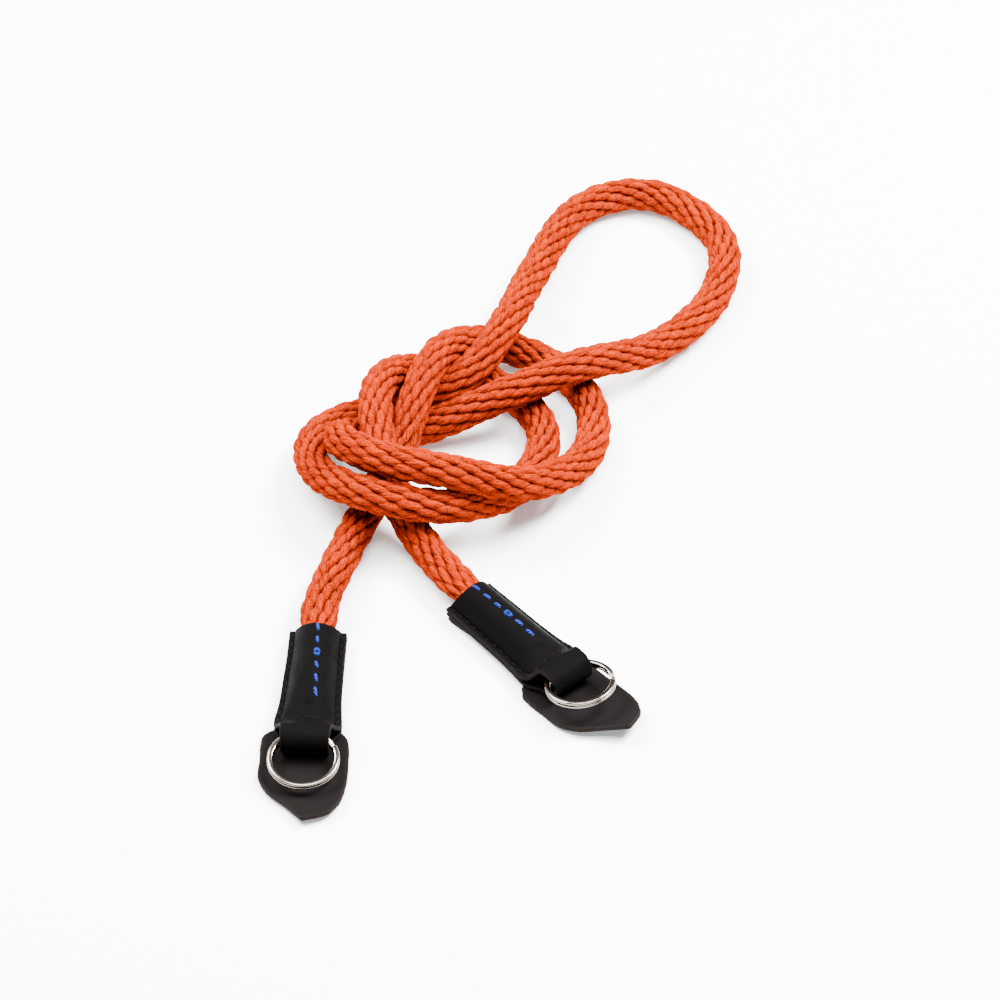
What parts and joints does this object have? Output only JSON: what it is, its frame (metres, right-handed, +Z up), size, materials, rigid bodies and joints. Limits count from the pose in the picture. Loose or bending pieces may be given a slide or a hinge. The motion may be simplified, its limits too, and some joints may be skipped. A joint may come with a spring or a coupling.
{
  "type": "camera neck strap",
  "caption": "Camera neck strap of braided rope lying in a loose knot, with stitched leather sleeve ends, leather wear pads and steel split rings that swing in folded loops.",
  "frame": {"origin": "on the floor, under the middle of the bounding box of the two leather ends with their rings", "axes": "+Z up; +Y away from the viewer of the picture, from the leather ends to the knot; +X to that viewer's right"},
  "size_m": [0.141, 0.2647, 0.0309],
  "materials": {
    "rope": "matte braided synthetic rope, orange",
    "leather": "matte black leather with a soft sheen",
    "steel": "polished nickel-plated steel"
  },
  "bodies": {
    "strap": {"rope": "rope", "sleeve_a": "leather", "sleeve_b": "leather", "pad_a": "leather", "pad_b": "leather"},
    "ring_a": {"ring_a": "steel"},
    "ring_b": {"ring_b": "steel"}
  },
  "joints": [
    {"name": "ring_a_swing", "type": "hinge", "parent": "strap", "child": "ring_a", "pos_m": [-0.03976, -0.01767, 0.00603], "axis": [-0.9987, 0.0506, 0], "range_deg": [-4.5, 95]},
    {"name": "ring_b_swing", "type": "hinge", "parent": "strap", "child": "ring_b", "pos_m": [0.03131, 0.00731, 0.00603], "axis": [-0.7649, -0.6441, 0], "range_deg": [-14, 85]}
  ]
}
